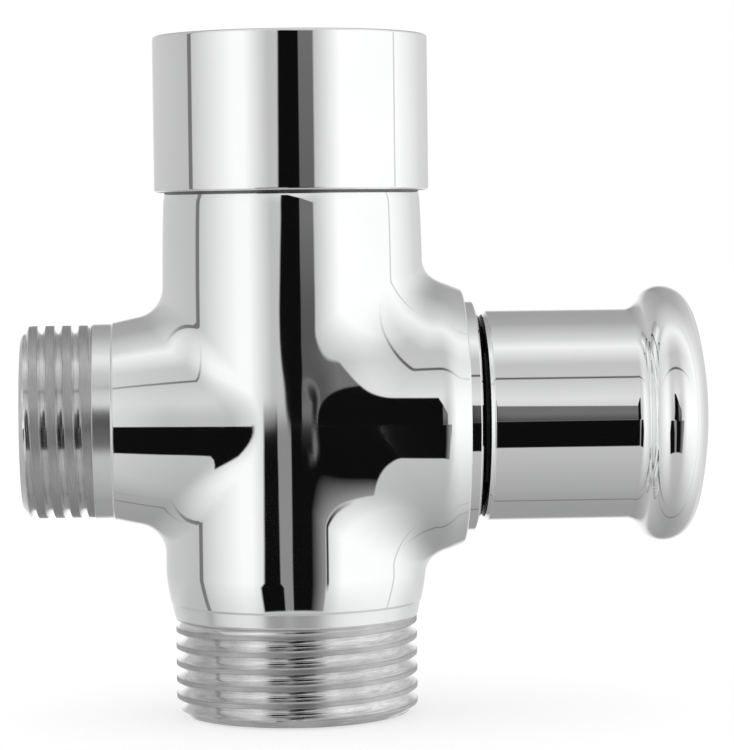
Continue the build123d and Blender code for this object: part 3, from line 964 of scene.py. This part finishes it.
# Tones by the direction in degrees that a reflection looks in: 0 is towards the photographer, positive
# is to the right or up, and 180 is behind the object, where the backdrop is white. Round the barrel a
# bright window stands at each hand, the right one wider, with grey between and beyond them. Round the
# branch the ceiling is brightest overhead.
ROUND_THE_BARREL = (
    (-175, 1.0), (-162, 0.79), (-96, 0.73), (-50, 0.98), (-40, 0.98), (-20, 0.73), (18, 0.74), (40, 1.0),
    (97, 0.99), (135, 0.83), (163, 0.79), (175, 1.0),
)
ROUND_THE_BRANCH = (
    (-175, 1.0), (-161, 0.92), (-150, 0.57), (-106, 0.6), (-34, 0.735), (20, 0.87), (43, 0.76),
    (60, 0.75), (82, 0.94), (94, 0.82), (122, 0.64), (160, 0.58), (176, 1.0),
)
# Seams in the walls, the floor and the ceiling: start, end and tone
LEFT_SEAM = (-95.8, -91.2, 0.45)
RIGHT_SEAM = (93.8, 95.4, 0.8)
FLOOR_SEAM = (-105.6, -103.6, 0.48)
CEILING_SEAM = (42.3, 44.5, 0.36)
# Panels before the object, in degrees to the right and up. Where an edge leans, its two places are given.
BLACK = 0.08
TABLE_TONE = 0.53
TABLE_TOP = -3.5
TABLE_BOTTOM = -32.0
TABLE_SIDES = (-18.0, 24.5)
SHADE_SIDES = (-4.5, 23.6)
SHADE_FADE = (12.0, 23.0)
LEG_HEIGHTS = (-4.0, -14.0)
LEG_LEFT = (-28.5, -33.0)
LEG_RIGHT = (-16.2, -12.5)
CABLE_TONE = 0.2
CABLE_SIDES = (25.0, 27.0)
CABLE_END = -14.0
STAND_HEIGHTS = (-2.0, 4.0)
STAND_LEFT = (-13.6, -11.2)
STAND_RIGHT = 5.2
STAND_FOOT = -3.8
STAND_CORNER = (-3.0, 11.0, 1.9)
STAND_TOP = 20.0
TOP_SLANT = (16.8, 0.65)
GREY_TONES = (0.33, 0.43)
GREY_SIDES = (4.0, 17.5)
GREY_FOOT = -3.6


def metal_tone(value):
    """Panel colour that a mirror shows as this grey."""
    return value**SCREEN_GAMMA / MIRROR


def studio_world():
    world = bpy.data.worlds.new("studio")
    bpy.context.scene.world = world
    world.use_nodes = True
    tree = world.node_tree
    background = tree.nodes["Background"]
    direction = add_node(tree, "ShaderNodeTexCoord").outputs["Generated"]
    split = add_node(tree, "ShaderNodeSeparateXYZ", inputs={"Vector": direction})
    x, y, z = (split.outputs[k] for k in "XYZ")

    def calc(operation, a, b=0.0):
        return maths(tree, operation, a, b)

    def over(value, limit, soft=1.0):
        """One where the value is over its limit, with an edge of some softness."""
        return remap(tree, calc("SUBTRACT", value, limit), -soft / 2, soft / 2)

    def under(value, limit, soft=1.0):
        return calc("SUBTRACT", 1.0, over(value, limit, soft))

    def blend(mask, a, b):
        """Value a where the mask is zero and b where it is one."""
        return add_node(tree, "ShaderNodeMix", inputs={"Factor": mask, 2: a, 3: b}).outputs[0]

    def panel(tone, colour, *edges):
        mask = edges[0]
        for edge in edges[1:]:
            mask = calc("MULTIPLY", mask, edge)
        return blend(mask, tone, colour)

    def seam(tone, angle, start, end, seam_tone):
        return panel(tone, metal_tone(seam_tone), over(angle, start), under(angle, end))

    def by_angle(angle, stops):
        places = [(a / FULL_TURN + 0.5, metal_tone(v)) for a, v in stops]
        return ramp(tree, calc("ADD", calc("DIVIDE", angle, FULL_TURN), 0.5), places)

    ahead = calc("MULTIPLY", y, -1.0)
    side = calc("DEGREES", calc("ARCTAN2", x, ahead))
    pitch = calc("DEGREES", calc("ARCTAN2", z, ahead))
    rise = calc("DEGREES", calc("ARCSINE", z))
    steep = calc("MULTIPLY", z, z)
    flat = calc("ADD", calc("MULTIPLY", x, x), 0.0001)
    share = calc("DIVIDE", steep, calc("ADD", steep, flat))
    walls = seam(by_angle(side, ROUND_THE_BARREL), side, *LEFT_SEAM)
    walls = seam(walls, side, *RIGHT_SEAM)
    levels = seam(by_angle(pitch, ROUND_THE_BRANCH), pitch, *FLOOR_SEAM)
    levels = seam(levels, pitch, *CEILING_SEAM)
    tone = blend(share, walls, levels)

    # Below the photographer's eye: a grey table with its shade, one dark leg and a thin cable
    black = metal_tone(BLACK)
    table_grey = metal_tone(TABLE_TONE)
    below = under(rise, TABLE_TOP, 0.5)
    above_floor = over(rise, TABLE_BOTTOM)
    left, right = TABLE_SIDES
    tone = panel(tone, table_grey, over(side, left), under(side, right, 1.5), below, above_floor)
    left, right = SHADE_SIDES
    shade = blend(remap(tree, side, *SHADE_FADE), black, table_grey)
    tone = panel(tone, shade, over(side, left), under(side, right, 1.5), below, above_floor)
    lean = remap(tree, rise, *LEG_HEIGHTS)
    left = blend(lean, *LEG_LEFT)
    right = blend(lean, *LEG_RIGHT)
    tone = panel(tone, black, over(side, left, 2.0), under(side, right), below, above_floor)
    left, right = CABLE_SIDES
    cable_end = over(rise, CABLE_END, 12.0)
    tone = panel(tone, metal_tone(CABLE_TONE), over(side, left), under(side, right), below, cable_end)

    # Level with the photographer: a grey panel and a dark stand before it, both under one slanting top
    level, slant = TOP_SLANT
    top = calc("MINIMUM", calc("SUBTRACT", level, calc("MULTIPLY", side, slant)), STAND_TOP)
    lean = remap(tree, rise, *STAND_HEIGHTS)
    panel_grey = blend(lean, *(metal_tone(value) for value in GREY_TONES))
    left, right = GREY_SIDES
    upright = (over(rise, GREY_FOOT), under(rise, top))
    tone = panel(tone, panel_grey, over(side, left), under(side, right, 1.5), *upright)
    start, width, lift = STAND_CORNER
    corner = calc("DIVIDE", calc("MAXIMUM", calc("SUBTRACT", start, side), 0.0), width)
    foot = calc("ADD", calc("MULTIPLY", calc("MULTIPLY", corner, corner), lift), STAND_FOOT)
    left = blend(lean, *STAND_LEFT)
    upright = (over(rise, foot, 0.4), under(rise, top))
    tone = panel(tone, black, over(side, left, 1.6), under(side, STAND_RIGHT), *upright)

    path = add_node(tree, "ShaderNodeLightPath")
    seen = blend(path.outputs["Is Glossy Ray"], 1.0, tone)
    tree.links.new(seen, background.inputs["Color"])
    background.inputs["Strength"].default_value = 1.0


studio_world()

# Floor: white to the camera apart from the object's soft shadow, and let through by reflections
FLOOR_SIZE = 6.0
FLOOR_DROP = 0.0002
FLOOR_TONE = 0.5
FLOOR_GLOW = 0.56
bpy.ops.mesh.primitive_plane_add(size=FLOOR_SIZE, location=(0, 0, -FLOOR_DROP))
floor = bpy.context.active_object
floor.name = "floor"
floor_material, tree, shader = node_tree("floor_white")
shader.inputs["Base Color"].default_value = grey(FLOOR_TONE)
shader.inputs["Roughness"].default_value = 0.9
shader.inputs["Specular IOR Level"].default_value = 0.0
output = tree.nodes["Material Output"]
path = add_node(tree, "ShaderNodeLightPath")
glow = add_node(tree, "ShaderNodeEmission", inputs={"Color": grey(1.0), "Strength": FLOOR_GLOW})
lit = add_node(tree, "ShaderNodeAddShader", inputs={0: shader.outputs[0], 1: glow.outputs[0]})
clear = add_node(tree, "ShaderNodeBsdfTransparent")
choice = {0: path.outputs["Is Glossy Ray"], 1: lit.outputs[0], 2: clear.outputs[0]}
mixed = add_node(tree, "ShaderNodeMixShader", inputs=choice)
tree.links.new(mixed.outputs[0], output.inputs["Surface"])
floor.data.materials.append(floor_material)

bpy.context.scene.view_settings.view_transform = "Standard"
